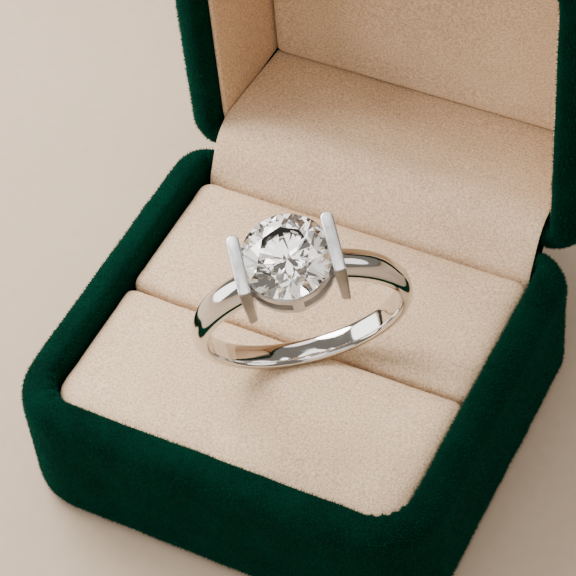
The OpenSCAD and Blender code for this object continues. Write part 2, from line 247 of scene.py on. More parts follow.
# Points on a corner rounded off over a reach to either side.
def softCorner(before, corner, after, reach, steps):
    a = corner + (before - corner) * reach / np.linalg.norm(before - corner)
    b = corner + (after - corner) * reach / np.linalg.norm(after - corner)
    return [a * (1 - u) ** 2 + corner * 2 * u * (1 - u) + b * u * u for u in np.linspace(0, 1, steps)]


def between(a, b, steps):
    return [a + (b - a) * u for u in np.linspace(0, 1, steps + 1)[1:-1]]


# The hinge cover seen from the side: its face from the tail over the knee and the bend to the crease.
riseWay = np.array((math.cos(math.radians(cover["rise"])), math.sin(math.radians(cover["rise"]))))
runWay = np.array((math.cos(math.radians(cover["fall"])), -math.sin(math.radians(cover["fall"]))))
knee, crease = np.array((cover["kneeY"], cover["kneeZ"])), np.array((cover["creaseY"], cover["creaseZ"]))
riseLength = np.linalg.solve(np.column_stack([riseWay, runWay]), crease - knee)[0]
bendTop = knee + riseWay * riseLength
tail, tucked = knee - (0, cover["tail"]), np.array((cover["tuckedTo"], crease[1] - cover["tuckDrop"]))
kneeBend = softCorner(tail, knee, bendTop, cover["kneeSoft"], 9)
topBend = softCorner(knee, bendTop, crease, cover["bendSoft"], 21)
behindPad = [tail] + between(tail, kneeBend[0], 6) + kneeBend
overHinge = between(kneeBend[-1], topBend[0], 12) + topBend + between(topBend[-1], crease, 30)
coverLine = np.array(behindPad + overHinge + [crease, (crease + tucked) / 2, tucked])
along = np.gradient(coverLine, axis=0)
coverNormal = np.column_stack([-along[:, 1], along[:, 0]]) / np.linalg.norm(along, axis=1)[:, None]

# Velvet stays below the hinge cover.
underside = (coverLine - coverNormal * (cover["thickness"] + cover["clear"]))[len(behindPad):]
for piece in (baseVelvet, lidVelvet):
    co = coords(piece.data)
    under = (np.abs(co[:, 0]) < cover["halfWidth"] + 0.1) & (co[:, 1] > knee[0])
    under &= (co[:, 1] < cover["tuckedTo"] + 0.3) & (co[:, 2] < 18)
    room = np.interp(co[:, 1], underside[:, 0], underside[:, 1])
    co[:, 2] = np.where(under, np.minimum(co[:, 2], room), co[:, 2])
    setCoords(piece.data, co)

# Velvet passes over the hinge rod.
co = coords(baseVelvet.data)
axis = np.array((hinge["y"], hinge["z"]))
reach = np.linalg.norm(co[:, 1:] - axis, axis=1)
over = (np.abs(co[:, 0]) < hinge["half"]) & (reach < hinge["over"])
over &= co[:, 1] > hinge["y"] - hinge["behind"]
co[over, 1:] = axis + (co[over, 1:] - axis) * (hinge["over"] / reach[over])[:, None]
setCoords(baseVelvet.data, co)

pile = dict(perMm2=22, length=0.26, thickness=0.036, lean=0.5, seed=7, lidShare=0.85)
# Limits of the faces without pile: behind the cushions and the lining, and under the hinge cover.
bare = dict(side=18.3, foot=0.4, front=-15.75, back=17.3, top=11.3, lidDeep=20.95, lidLow=14.5, lidHigh=46.6,
            coverSide=17.5, coverFrom=15.8, coverAbove=11.0, lidCoverLow=13.4, lidCoverHigh=17.0)


# Pile grows on the outside, the rim and the top of the inner wall.
def markPile(piece, grows):
    mask = piece.data.attributes.new("grows", "FLOAT", "POINT")
    mask.data.foreach_set("value", grows(coords(piece.data)).astype(np.float32))


def baseGrows(p):
    x, y, z = np.abs(p[:, 0]), p[:, 1], p[:, 2]
    inside = (x < bare["side"]) & (y > bare["front"]) & (y < bare["back"]) & (z < bare["top"])
    hidden = (x < bare["coverSide"]) & (y > bare["coverFrom"]) & (z > bare["coverAbove"])
    return (z > bare["foot"]) & ~inside & ~hidden


def lidGrows(p):
    x, y, z = np.abs(p[:, 0]), p[:, 1], p[:, 2]
    inside = (x < bare["side"]) & (y > bare["lidDeep"]) & (z > bare["lidLow"]) & (z < bare["lidHigh"])
    hidden = (x < bare["coverSide"]) & (z > bare["lidCoverLow"]) & (z < bare["lidCoverHigh"])
    return ~inside & ~hidden


markPile(baseVelvet, baseGrows)
markPile(lidVelvet, lidGrows)


def pileTree():
    tree = bpy.data.node_groups.new("velvetPile", "GeometryNodeTree")
    face = tree.interface
    face.new_socket("Geometry", in_out="INPUT", socket_type="NodeSocketGeometry")
    for name, kind, value in (("Fibres per m2", "NodeSocketFloat", 1e6), ("Length", "NodeSocketFloat", 3e-4),
                              ("Thickness", "NodeSocketFloat", 4e-5), ("Lean", "NodeSocketFloat", 0.5),
                              ("Seed", "NodeSocketInt", 1)):
        face.new_socket(name, in_out="INPUT", socket_type=kind).default_value = value
    face.new_socket("Material", in_out="INPUT", socket_type="NodeSocketMaterial")
    face.new_socket("Geometry", in_out="OUTPUT", socket_type="NodeSocketGeometry")
    new, link = tree.nodes.new, tree.links.new
    start, end = new("NodeGroupInput"), new("NodeGroupOutput")
    grows = new("GeometryNodeInputNamedAttribute")
    grows.data_type = "FLOAT"
    grows.inputs["Name"].default_value = "grows"
    thin = new("ShaderNodeMath")
    thin.operation = "MULTIPLY"
    spread = new("GeometryNodeDistributePointsOnFaces")
    fibre = new("GeometryNodeMeshCone")
    fibre.fill_type = "NONE"
    fibre.inputs["Vertices"].default_value = 3
    fibre.inputs["Radius Top"].default_value = 0
    put = new("GeometryNodeInstanceOnPoints")
    tilt = new("FunctionNodeRandomValue")
    tilt.data_type = "FLOAT_VECTOR"
    size = new("FunctionNodeRandomValue")
    size.data_type = "FLOAT"
    size.inputs[2].default_value, size.inputs[3].default_value = 0.55, 1.1
    turn = new("FunctionNodeRotateRotation")
    turn.rotation_space = "LOCAL"
    lean, less = new("ShaderNodeVectorMath"), new("ShaderNodeVectorMath")
    lean.operation, less.operation = "SCALE", "SCALE"
    lean.inputs[0].default_value = (1, 1, 6.28)
    less.inputs[0].default_value = (-1, -1, 0)
    real, paint = new("GeometryNodeRealizeInstances"), new("GeometryNodeSetMaterial")
    for source, target in (
            (start.outputs["Geometry"], spread.inputs["Mesh"]),
            (start.outputs["Fibres per m2"], thin.inputs[0]),
            (grows.outputs["Attribute"], thin.inputs[1]), (thin.outputs[0], spread.inputs["Density"]),
            (start.outputs["Seed"], spread.inputs["Seed"]), (start.outputs["Length"], fibre.inputs["Depth"]),
            (start.outputs["Thickness"], fibre.inputs["Radius Bottom"]),
            (start.outputs["Lean"], lean.inputs["Scale"]), (start.outputs["Lean"], less.inputs["Scale"]),
            (lean.outputs[0], tilt.inputs[1]), (less.outputs[0], tilt.inputs[0]),
            (spread.outputs["Points"], put.inputs["Points"]), (fibre.outputs["Mesh"], put.inputs["Instance"]),
            (spread.outputs["Rotation"], turn.inputs[0]), (tilt.outputs[0], turn.inputs[1]),
            (turn.outputs[0], put.inputs["Rotation"]), (size.outputs[1], put.inputs["Scale"]),
            (put.outputs["Instances"], real.inputs["Geometry"]),
            (real.outputs["Geometry"], paint.inputs["Geometry"]),
            (start.outputs["Material"], paint.inputs["Material"]),
            (paint.outputs["Geometry"], end.inputs["Geometry"])):
        link(source, target)
    return tree


def growPile(name, under, tree, material, share):
    piece = addObject(name, under.data.copy())
    grow = piece.modifiers.new("pile", "NODES")
    grow.node_group = tree
    socket = {s.name: s.identifier for s in tree.interface.items_tree if s.in_out == "INPUT"}
    grow[socket["Fibres per m2"]] = pile["perMm2"] * 1e6 * share
    grow[socket["Length"]] = pile["length"] * mm
    grow[socket["Thickness"]] = pile["thickness"] * mm
    grow[socket["Lean"]] = pile["lean"]
    grow[socket["Seed"]] = pile["seed"]
    grow[socket["Material"]] = material
    return fromModifiers(piece)


swelling = dict(scale=40, frames=20, quality=5, mass=0.4, stretch=18, shear=8, bending=0.6, pressure=4.0)


# Blows a cover up a little in a larger copy, and brings the change back, capped.
def swell(piece, voxel, cap, pinned):
    grid = piece.modifiers.new("grid", "REMESH")
    grid.mode, grid.voxel_size, grid.use_smooth_shade = "VOXEL", voxel * mm, True
    fromModifiers(piece)
    rest = coords(piece.data)
    body = addObject("swelling", piece.data.copy())
    setCoords(body.data, rest * swelling["scale"])
    pins = body.vertex_groups.new(name="pins")
    for i in np.nonzero(pinned(rest))[0]:
        pins.add([int(i)], 1.0, "REPLACE")
    cloth = body.modifiers.new("cloth", "CLOTH")
    cloth.settings.quality = swelling["quality"]
    cloth.settings.mass = swelling["mass"]
    cloth.settings.tension_stiffness = cloth.settings.compression_stiffness = swelling["stretch"]
    cloth.settings.shear_stiffness = swelling["shear"]
    cloth.settings.bending_stiffness = swelling["bending"]
    cloth.settings.vertex_group_mass = "pins"
    cloth.settings.use_pressure = True
    cloth.settings.uniform_pressure_force = swelling["pressure"]
    cloth.settings.effector_weights.gravity = 0
    cloth.point_cache.frame_start, cloth.point_cache.frame_end = 1, swelling["frames"]
    for step in range(1, swelling["frames"] + 1):
        bpy.context.scene.frame_set(step)
    graph = bpy.context.evaluated_depsgraph_get()
    blown = bpy.data.meshes.new_from_object(body.evaluated_get(graph))
    change = coords(blown) / swelling["scale"] - rest
    bpy.data.objects.remove(body)
    bpy.context.scene.frame_set(1)
    most = float(np.linalg.norm(change, axis=1).max())
    print("  swelled by", round(most, 3), "mm before the cap")
    setCoords(piece.data, rest + change * (cap / max(cap, most)))
    finer = piece.modifiers.new("finer", "SUBSURF")
    finer.levels = finer.render_levels = 1
    fromModifiers(piece)
    shadeSmooth(piece.data)


def padSolid(name, x0, x1, y0, y1, radii, low, top, edge):
    loops = []
    levels = [(0, low), (0, top - edge)]
    levels += [(edge - edge * math.cos(a), top - edge + edge * math.sin(a)) for a in angles(10, 90, 9)]
    levels += [(edge + k, top) for k in (1.5, 3.0, 4.5)]
    for inset, z in levels:
        r = [max(v - inset, 0.25) for v in radii]
        flat = roundRect(x0 + inset, x1 - inset, y0 + inset, y1 - inset, r,
                         cornerSteps=14, sideSteps=(14, 40))
        loops.append(atHeight(flat, z))
    return addPiece(name, *loft(loops))


# Where the ring stands, and its hoop, which the cushions give way to.
seat = dict(place=(3.58, -3.34, 21.27), turn=38.75, lean=17.1, roll=6.1)
hoop = dict(finger=8.65, crest=10.03, section=1.16, shoulder=9.38, shoulderRise=1.8, shoulderSoft=0.05,
            widthLow=2.3, widthHigh=2.75, widens=(140, 50), inside=0.42, outerShape=(0.86, 0.92),
            innerShape=(0.62, 0.7), meets=10.9, steps=220, around=56)
press = dict(clear=0.04, give=0.4, reach=4, fade=2.5, above=8, least=0.25)
ringFrame = (Matrix.Translation(seat["place"]) @ Matrix.Rotation(math.radians(seat["turn"]), 4, "Z")
             @ Matrix.Rotation(math.radians(seat["lean"]), 4, "X")
             @ Matrix.Rotation(-math.radians(seat["roll"]), 4, "Y"))


# Soft fabric near the hoop sinks below it.
def pressRing(piece):
    co = coords(piece.data)
    local = moved(ringFrame.inverted(), co)
    radius = np.hypot(local[:, 0], local[:, 2])
    away = np.stack([radius - (hoop["crest"] - hoop["section"]), local[:, 1]], 1)
    gap = np.linalg.norm(away, axis=1)
    distance = gap - hoop["section"]
    clear = press["clear"]
    wanted = 0.5 * (distance + clear + np.sqrt((distance - clear) ** 2 + press["give"] ** 2))
    near = (distance < press["reach"]) & (co[:, 2] > press["above"])
    fade = np.clip((press["reach"] - distance) / press["fade"], 0, 1)
    push = np.where(near, (wanted - distance) * fade, 0)
    way = away / np.maximum(gap, 1e-6)[:, None]
    step = np.stack([local[:, 0] / radius * way[:, 0], way[:, 1], local[:, 2] / radius * way[:, 0]], 1)
    step = step @ np.array(ringFrame.to_3x3(), float).T
    co[:, 2] -= push * np.clip(-step[:, 2], press["least"], None)
    setCoords(piece.data, co)


print("cushions")
pad = dict(top=11.85, edge=1.0, halfWidth=17.86, front=-15.38, slot=0.3, slotWidth=0.24, back=15.66,
           frontCorner=3.1, slotCorner=1.0, backCorner=1.4, low=1.7, voxel=0.5, swell=0.3, sides=0.06,
           pinned=6.5)
slotHalf = pad["slotWidth"] / 2
front, slot, back = pad["frontCorner"], pad["slotCorner"], pad["backCorner"]
frontPad = padSolid("frontPad", -pad["halfWidth"], pad["halfWidth"], pad["front"], pad["slot"] - slotHalf,
                    [front, slot, slot, front], pad["low"], pad["top"], pad["edge"])
rearPad = padSolid("rearPad", -pad["halfWidth"], pad["halfWidth"], pad["slot"] + slotHalf, pad["back"],
                   [slot, back, back, slot], pad["low"], pad["top"], pad["edge"])
for cushion in (frontPad, rearPad):
    plain = coords(cushion.data)
    low, high = plain.min(0) - pad["sides"], plain.max(0) + pad["sides"]
    swell(cushion, pad["voxel"], pad["swell"], lambda p: p[:, 2] < pad["pinned"])
    co = coords(cushion.data)
    co[:, :2] = np.clip(co[:, :2], low[:2], high[:2])
    setCoords(cushion.data, co)
    pressRing(cushion)

print("hinge cover")
loops = []
for x in np.linspace(-1, 1, cover["rows"]):
    spot = x * cover["halfWidth"]
    rounding = min(1.0, (1 - abs(x)) * cover["halfWidth"] / cover["edge"])
    full = math.sqrt(1 - (1 - rounding) ** 2)
    drop = cover["edgeDrop"] * (1 - full)
    thick = cover["thickness"] * max(full, cover["edgeThin"])
    across, step = spot * cover["waveAcross"], cover["waveAlong"]
    wave = np.array([cover["wave"] * noise.noise(Vector((across, y * step, z * step))) for y, z in coverLine])
    outer = coverLine + coverNormal * (wave - drop)[:, None]
    inner = coverLine - coverNormal * (thick + drop - wave)[:, None]
    loop = np.concatenate([outer, inner[::-1]])
    loops.append(np.column_stack([np.full(len(loop), spot), loop]))
hingeCover = addPiece("hingeCover", *loft(loops))
creased(hingeCover, 60)

print("lid lining and panel")
lining = dict(thickness=0.5, low=15.42, near=20.75, far=32.6, outer=17.93, high=46.2, corner=0.6, wave=0.06,
              waveAlong=0.2, waveDeep=0.3, ends=(0.55, 0.85, 0.96))
out, thick, c, top = lining["outer"], lining["thickness"], lining["corner"], lining["high"]
leftWall = [(-out, z) for z in np.linspace(lining["low"], top - c, 60)]
leftWall += [(-out + c - c * math.cos(a), top - c + c * math.sin(a)) for a in angles(10, 80, 6)]
path = leftWall + [(x, top) for x in np.linspace(-out + c, out - c, 70)]
path = np.array(path + [(-x, z) for x, z in leftWall[::-1]])
run = np.gradient(path, axis=0)
inward = np.column_stack([run[:, 1], -run[:, 0]]) / np.linalg.norm(run, axis=1)[:, None]
half, near, far = thick / 2, lining["near"] + thick / 2, lining["far"]
section = [(half - half * math.cos(a), near - half * math.sin(a)) for a in angles(0, 180, 13)]
section += [(thick, y) for y in np.linspace(near, far, 22)[1:]]
section += [(0, y) for y in np.linspace(far, near, 22)[:-1]]
loops = []
for k, (spot, turn) in enumerate(zip(path, inward)):
    end = min(k, len(path) - 1 - k)
    shrink = 1 if end >= len(lining["ends"]) else lining["ends"][end]
    points = []
    for d, y in section:
        d = half + (d - half) * shrink
        place = Vector((spot[0] * lining["waveAlong"], y * lining["waveDeep"], spot[1] * lining["waveAlong"]))
        wave = lining["wave"] * noise.noise(place) * (d > half)
        x, z = spot + turn * (d + wave)
        points.append((x, y, z))
    loops.append(points)
lidLining = addPiece("lidLining", *loft(loops))
creased(lidLining, 50)

panel = dict(face=31.42, back=32.75, halfWidth=17.38, low=15.42, high=45.62, corner=0.8, edge=0.35,
             swell=0.25, voxel=0.5, pinned=0.4)
lidPanel = padSolid("lidPanel", -panel["halfWidth"], panel["halfWidth"], panel["low"], panel["high"],
                    [panel["corner"]] * 4, 0, panel["back"] - panel["face"], panel["edge"])
stand = Matrix(((1, 0, 0, 0), (0, 0, -1, panel["back"]), (0, 1, 0, 0), (0, 0, 0, 1)))
setCoords(lidPanel.data, moved(stand, coords(lidPanel.data)))
outward(lidPanel.data)
swell(lidPanel, panel["voxel"], panel["swell"], lambda p: p[:, 1] > panel["back"] - panel["pinned"])

# The ring is shaped about the hoop's middle, with the stone at the top, and then moved to its seat.
print("ring")
leaf = dict(tip=(5.42, 7.78), radius=1.7, turns=(113, 187), steps=60, depth=4)
bar = dict(thickness=1.1, middle=4.05, back=2.95, front=2.9, low=7.2, straight=7.6, top=13.2, bevel=0.15,
           shapedFrom=7.5, lean=0.28, slim=0.7, slimGrow=0.25, tip=0.3, backShape=0.8, tipShape=0.6, row=1.2)
gallery = dict(radius=3.9, thickness=0.5, top=12.6, gapTop=11.75, gapLow=10.5, low=9.8, post=0.95, edge=0.08,
               lip=0.14, lowEdge=0.12)
stone = dict(radius=3.86, girdle=0.22, middle=12.8, table=0.57, crown=0.15, pavilion=0.43, lowerHalves=0.77,
             bed=0.05, room=0.03)


# Radius of the hoop's outside at an angle from the top: a circle that runs into the higher shoulders.
def crestAt(angle):
    high = hoop["shoulderRise"] * math.cos(angle)
    high += math.sqrt(hoop["shoulder"] ** 2 - (hoop["shoulderRise"] * math.sin(angle)) ** 2)
    return 0.5 * (hoop["crest"] + high + math.sqrt((hoop["crest"] - high) ** 2 + hoop["shoulderSoft"]))


stop = math.asin(bar["middle"] / hoop["meets"])
loops = []
for angle in np.linspace(stop, 2 * math.pi - stop, hoop["steps"]):
    fromTop = min(angle, 2 * math.pi - angle)
    rise = softStep(*hoop["widens"], math.degrees(fromTop))
    width = hoop["widthLow"] + (hoop["widthHigh"] - hoop["widthLow"]) * rise
    low, high = hoop["finger"], crestAt(fromTop)
    middle = low + hoop["inside"]
    loop = []
    for a in np.linspace(0, 2 * math.pi, hoop["around"], endpoint=False):
        c, s = math.cos(a), math.sin(a)
        edge, (across, through) = (high, hoop["outerShape"]) if s >= 0 else (low, hoop["innerShape"])
        r = middle + (edge - middle) * abs(s) ** through
        loop.append((r * math.sin(angle), width / 2 * shaped(c, across), r * math.cos(angle)))
    loops.append(loop)
shank = addPiece("shank", *loft(loops))


# One side of a leaf window: the arc of a disc from the tip, as far as it lies inside the other disc.
def leafSide(disc, other, way):
    start = math.atan2(*(leafTip - disc)[::-1])
    turns = [start + way * k * math.pi / leaf["steps"] for k in range(1, leaf["steps"])]
    arc = [disc + leaf["radius"] * np.array((math.cos(a), math.sin(a))) for a in turns]
    return [p for p in arc if np.linalg.norm(p - other) <= leaf["radius"]]


leafTip = np.array(leaf["tip"])
discA, discB = [leafTip + np.array(onCircle(leaf["radius"], a)) for a in leaf["turns"]]
outline = [leafTip] + leafSide(discA, discB, 1) + leafSide(discB, discA, -1)[::-1]
for side in (1, -1):
    prism = [[(side * p[0], y, p[1]) for p in outline] for y in (-leaf["depth"], leaf["depth"])]
    subtract(shank, addPiece("leaf", *loft(prism)))

# The bars are plates with a slimmer, rounder front end low down.
straight = [bar["low"], *np.linspace(bar["straight"], bar["top"] - bar["bevel"], 12)]
levels = [(0.0, z) for z in straight]
levels += [(bar["bevel"] * (1 - math.cos(a)), bar["top"] - bar["bevel"] * (1 - math.sin(a)))
           for a in np.radians((30, 60, 90))]
loops = []
for inset, z in levels:
    up = softStep(bar["shapedFrom"], bar["top"], z)
    half = bar["thickness"] / 2 - inset
    front = -bar["front"] + bar["lean"] * up ** 3 + inset
    back = bar["back"] - inset
    r = half * (bar["slim"] + bar["slimGrow"] * up)
    row, tip, tipShape = bar["row"], bar["tip"], bar["tipShape"]
    loop = [(half * shaped(math.cos(a), bar["backShape"]), back - half + half * math.sin(a), z)
            for a in angles(0, 180, 15)]
    loop += [(-half, y, z) for y in (row, 0, -row)]
    loop += [(r * shaped(math.cos(a), tipShape), front + tip + tip * shaped(math.sin(a), tipShape), z)
             for a in angles(180, 360, 15)]
    loop += [(half, y, z) for y in (-row, 0, row)]
    loops.append(loop)
points, faces = loft(loops)
bars = joined("bars", [addPiece("bar", [(side * (bar["middle"] + x), y, z) for x, y, z in points], faces)
                       for side in (-1, 1)])


def lathe(name, section, steps=128, low=0.0, high=360.0):
    full = high - low >= 360
    turns = np.radians(np.linspace(low, high, steps, endpoint=not full))
    loops = [[(r * math.cos(a), r * math.sin(a), z) for r, z in section] for a in turns]
    return addPiece(name, *loft(loops, ring=full))


gemR = stone["radius"]
girdleTop = stone["middle"] + stone["girdle"] / 2
girdleLow = stone["middle"] - stone["girdle"] / 2
depth = stone["pavilion"] * 2 * gemR
slope = depth / gemR


# Height at which the gallery's metal meets the stone's underside.
def bedAt(radius):
    return girdleLow - (gemR - radius) * slope - stone["bed"]


outer, inner = gallery["radius"], gallery["radius"] - gallery["thickness"]
low, gapLow, gapTop = gallery["low"], gallery["gapLow"], gallery["gapTop"]
edge, lip, lowEdge = gallery["edge"], gallery["lip"], gallery["lowEdge"]
top = min(gallery["top"], bedAt(outer - lowEdge))
parts = [lathe("railTop", [(inner, gapTop), (outer, gapTop), (outer, top - edge), (outer - edge, top),
                           (outer - lip, bedAt(outer - lip)), (inner, bedAt(inner))]),
         lathe("railLow", [(inner, low), (outer - lowEdge, low), (outer - 0.03, low + 0.1), (outer, gapLow),
                           (inner, gapLow)])]
spread = math.degrees(gallery["post"] / 2 / outer)
postSection = [(inner + 0.05, low + 0.05), (outer + 0.01, low + 0.05), (outer + 0.02, top - 0.1),
               (inner + 0.05, bedAt(inner) - 0.1)]
for turn in (90, 270):
    parts.append(lathe("post", postSection, 9, turn - spread, turn + spread))

# The bars give way to the stone and to the finger.
room, axisGap = stone["room"], 0.001
subtract(bars, lathe("well", [(gemR + room, girdleLow - room), (gemR + room, girdleTop + room),
                              (gemR * 0.8, girdleTop + 0.45), (axisGap, girdleTop + 0.9),
                              (axisGap, girdleLow - depth - 0.1)]))
bore = [[(hoop["finger"] * math.sin(a), y, hoop["finger"] * math.cos(a))
         for a in np.linspace(0, 2 * math.pi, 160, endpoint=False)] for y in (-5, 5)]
subtract(bars, addPiece("bore", *loft(bore)))

# The hoop is polished and the head is duller. The bars' ends and the gallery's inside are brushed, and their
# darker colour is painted shade.
satin, brushedShade = 1, 2
facing = dict(barEnd=-0.55, outside=0.3, lip=0.5)
for face in bars.data.polygons:
    ending = face.normal.y < facing["barEnd"] and face.center.z < bar["top"] - 0.1
    face.material_index = brushedShade if ending else satin
for piece in parts:
    for face in piece.data.polygons:
        away = Vector((face.center.x, face.center.y, 0)).normalized()
        outside = face.normal.dot(away) > facing["outside"]
        upperLip = face.normal.z > facing["lip"] and face.center.z > top - 0.3
        lowerLip = face.normal.z < -facing["lip"] and face.center.z < low + 0.2
        face.material_index = satin if outside or upperLip or lowerLip else brushedShade
ringMetal = joined("ringMetal", [shank, bars] + parts)
setCoords(ringMetal.data, moved(ringFrame, coords(ringMetal.data)))
creased(ringMetal, 32)

print("stone")


# A round brilliant, cut facet by facet from a cylinder.
def cutGem():
    table, crown, around = stone["table"] * gemR, stone["crown"] * 2 * gemR, 96
    turns = [2 * math.pi * k / around for k in range(around)]
    work = bmesh.new()
    rings = [[work.verts.new((gemR * math.cos(a), gemR * math.sin(a), z)) for a in turns]
             for z in (girdleLow - depth - 0.2, girdleTop + crown)]
    for k in range(around):
        after = (k + 1) % around
        work.faces.new((rings[0][k], rings[0][after], rings[1][after], rings[1][k]))
    work.faces.new(rings[0][::-1])
    work.faces.new(rings[1])

    def spot(radius, degrees, z):
        return Vector((*onCircle(radius, degrees), z))

    def cutFacet(a, b, c):
        away = (b - a).cross(c - a).normalized()
        if away.dot(a - Vector((0, 0, stone["middle"]))) < 0:
            away = -away
        whole = work.verts[:] + work.edges[:] + work.faces[:]
        got = bmesh.ops.bisect_plane(work, geom=whole, dist=1e-5, plane_co=a, plane_no=away, clear_outer=True)
        edges = [e for e in got["geom_cut"] if isinstance(e, bmesh.types.BMEdge) and len(e.link_faces) == 1]
        if edges:
            bmesh.ops.contextual_create(work, geom=edges)

    half = math.cos(math.radians(22.5))
    starR = (table * half + gemR) / 2
    starZ = girdleTop + crown * (1 - (starR * half - table) / (gemR - table))
    lowR = (1 - stone["lowerHalves"]) * gemR
    lowZ = girdleLow - depth * (1 - lowR * half / gemR)
    crownZ = girdleTop + crown
    for k in range(8):
        a = 45 * k
        star, lower = spot(starR, a + 22.5, starZ), spot(lowR, a + 22.5, lowZ)
        cutFacet(spot(table, a, crownZ), spot(gemR, a, girdleTop), star)
        cutFacet(spot(table, a, crownZ), spot(table, a + 45, crownZ), star)
        cutFacet(Vector((0, 0, girdleLow - depth)), spot(gemR, a, girdleLow), lower)
        for start in (a, a + 45):
            cutFacet(spot(gemR, start, girdleTop), spot(gemR, a + 22.5, girdleTop), star)
            cutFacet(spot(gemR, start, girdleLow), spot(gemR, a + 22.5, girdleLow), lower)
    bmesh.ops.remove_doubles(work, verts=work.verts, dist=2e-4)
    bmesh.ops.recalc_face_normals(work, faces=work.faces)
    work.transform(Matrix.Scale(mm, 4) @ ringFrame)
    mesh = bpy.data.meshes.new("brilliant")
    work.to_mesh(mesh)
    work.free()
    return addObject("brilliant", mesh)


brilliant = cutGem()
print("  facets", len(brilliant.data.polygons))

print("materials")


def shaderGroup(name, inputs, outputs):
    tree = bpy.data.node_groups.new(name, "ShaderNodeTree")
    for label, kind, value in inputs:
        tree.interface.new_socket(label, in_out="INPUT", socket_type=kind).default_value = value
    for label, kind in outputs:
        tree.interface.new_socket(label, in_out="OUTPUT", socket_type=kind)
    return tree, tree.nodes.new("NodeGroupInput"), tree.nodes.new("NodeGroupOutput")


# Fine grain and soft mottling, of a napped fabric or a plain floor. Grains and patches are for each metre.
def napGroup():
    tree, start, end = shaderGroup("clothNap", [
        ("Grains", "NodeSocketFloat", 5000.0), ("Patches", "NodeSocketFloat", 150.0),
        ("Relief", "NodeSocketFloat", 0.3), ("Dark", "NodeSocketColor", (0, 0, 0, 1)),
        ("Light", "NodeSocketColor", (1, 1, 1, 1)), ("Mottling", "NodeSocketFloat", 0.5)],
        [("Color", "NodeSocketColor"), ("Roughness", "NodeSocketFloat"), ("Normal", "NodeSocketVector")])
    new, link = tree.nodes.new, tree.links.new
    where = new("ShaderNodeTexCoord")
    grain, patch = new("ShaderNodeTexNoise"), new("ShaderNodeTexNoise")
    for node, label, detail in ((grain, "Grains", 2), (patch, "Patches", 4)):
        link(where.outputs["Object"], node.inputs["Vector"])
        link(start.outputs[label], node.inputs["Scale"])
        node.inputs["Detail"].default_value = detail
    both = new("ShaderNodeMix")
    both.data_type = "FLOAT"
    link(start.outputs["Mottling"], both.inputs[0])
    link(grain.outputs["Fac"], both.inputs[2])
    link(patch.outputs["Fac"], both.inputs[3])
    spread = new("ShaderNodeMapRange")
    spread.inputs["From Min"].default_value, spread.inputs["From Max"].default_value = 0.3, 0.7
    link(both.outputs[0], spread.inputs["Value"])
    tint = new("ShaderNodeMix")
    tint.data_type = "RGBA"
    link(spread.outputs["Result"], tint.inputs[0])
    link(start.outputs["Dark"], tint.inputs[6])
    link(start.outputs["Light"], tint.inputs[7])
    rough = new("ShaderNodeMapRange")
    rough.inputs["To Min"].default_value, rough.inputs["To Max"].default_value = 0.8, 1.0
    link(patch.outputs["Fac"], rough.inputs["Value"])
    bump = new("ShaderNodeBump")
    bump.inputs["Distance"].default_value = 0.0001
    link(start.outputs["Relief"], bump.inputs["Strength"])
    link(grain.outputs["Fac"], bump.inputs["Height"])
    link(tint.outputs[2], end.inputs["Color"])
    link(rough.outputs["Result"], end.inputs["Roughness"])
    link(bump.outputs["Normal"], end.inputs["Normal"])
    return tree


# Faint unevenness of a metal or a cut stone.
def polishGroup():
    tree, start, end = shaderGroup("polish", [
        ("Low", "NodeSocketFloat", 0.04), ("High", "NodeSocketFloat", 0.1),
        ("Relief", "NodeSocketFloat", 0.05)],
        [("Roughness", "NodeSocketFloat"), ("Normal", "NodeSocketVector")])
    new, link = tree.nodes.new, tree.links.new
    where, wear, wave = new("ShaderNodeTexCoord"), new("ShaderNodeTexNoise"), new("ShaderNodeTexNoise")
    link(where.outputs["Object"], wear.inputs["Vector"])
    link(where.outputs["Object"], wave.inputs["Vector"])
    wear.inputs["Scale"].default_value, wave.inputs["Scale"].default_value = 900, 350
    level = new("ShaderNodeMapRange")
    level.inputs["From Min"].default_value, level.inputs["From Max"].default_value = 0.3, 0.7
    link(wear.outputs["Fac"], level.inputs["Value"])
    link(start.outputs["Low"], level.inputs["To Min"])
    link(start.outputs["High"], level.inputs["To Max"])
    bump = new("ShaderNodeBump")
    bump.inputs["Distance"].default_value = 0.00005
    link(start.outputs["Relief"], bump.inputs["Strength"])
    link(wave.outputs["Fac"], bump.inputs["Height"])
    link(level.outputs["Result"], end.inputs["Roughness"])
    link(bump.outputs["Normal"], end.inputs["Normal"])
    return tree


def newMaterial(name, group, values, settings):
    material = bpy.data.materials.new(name)
    material.use_nodes = True
    tree = material.node_tree
    shader = tree.nodes["Principled BSDF"]
    use = tree.nodes.new("ShaderNodeGroup")
    use.node_tree = group
    for label, value in values.items():
        use.inputs[label].default_value = value
    for output in use.outputs:
        tree.links.new(output, shader.inputs["Base Color" if output.name == "Color" else output.name])
    for label, value in settings.items():
        shader.inputs[label].default_value = value
    return material


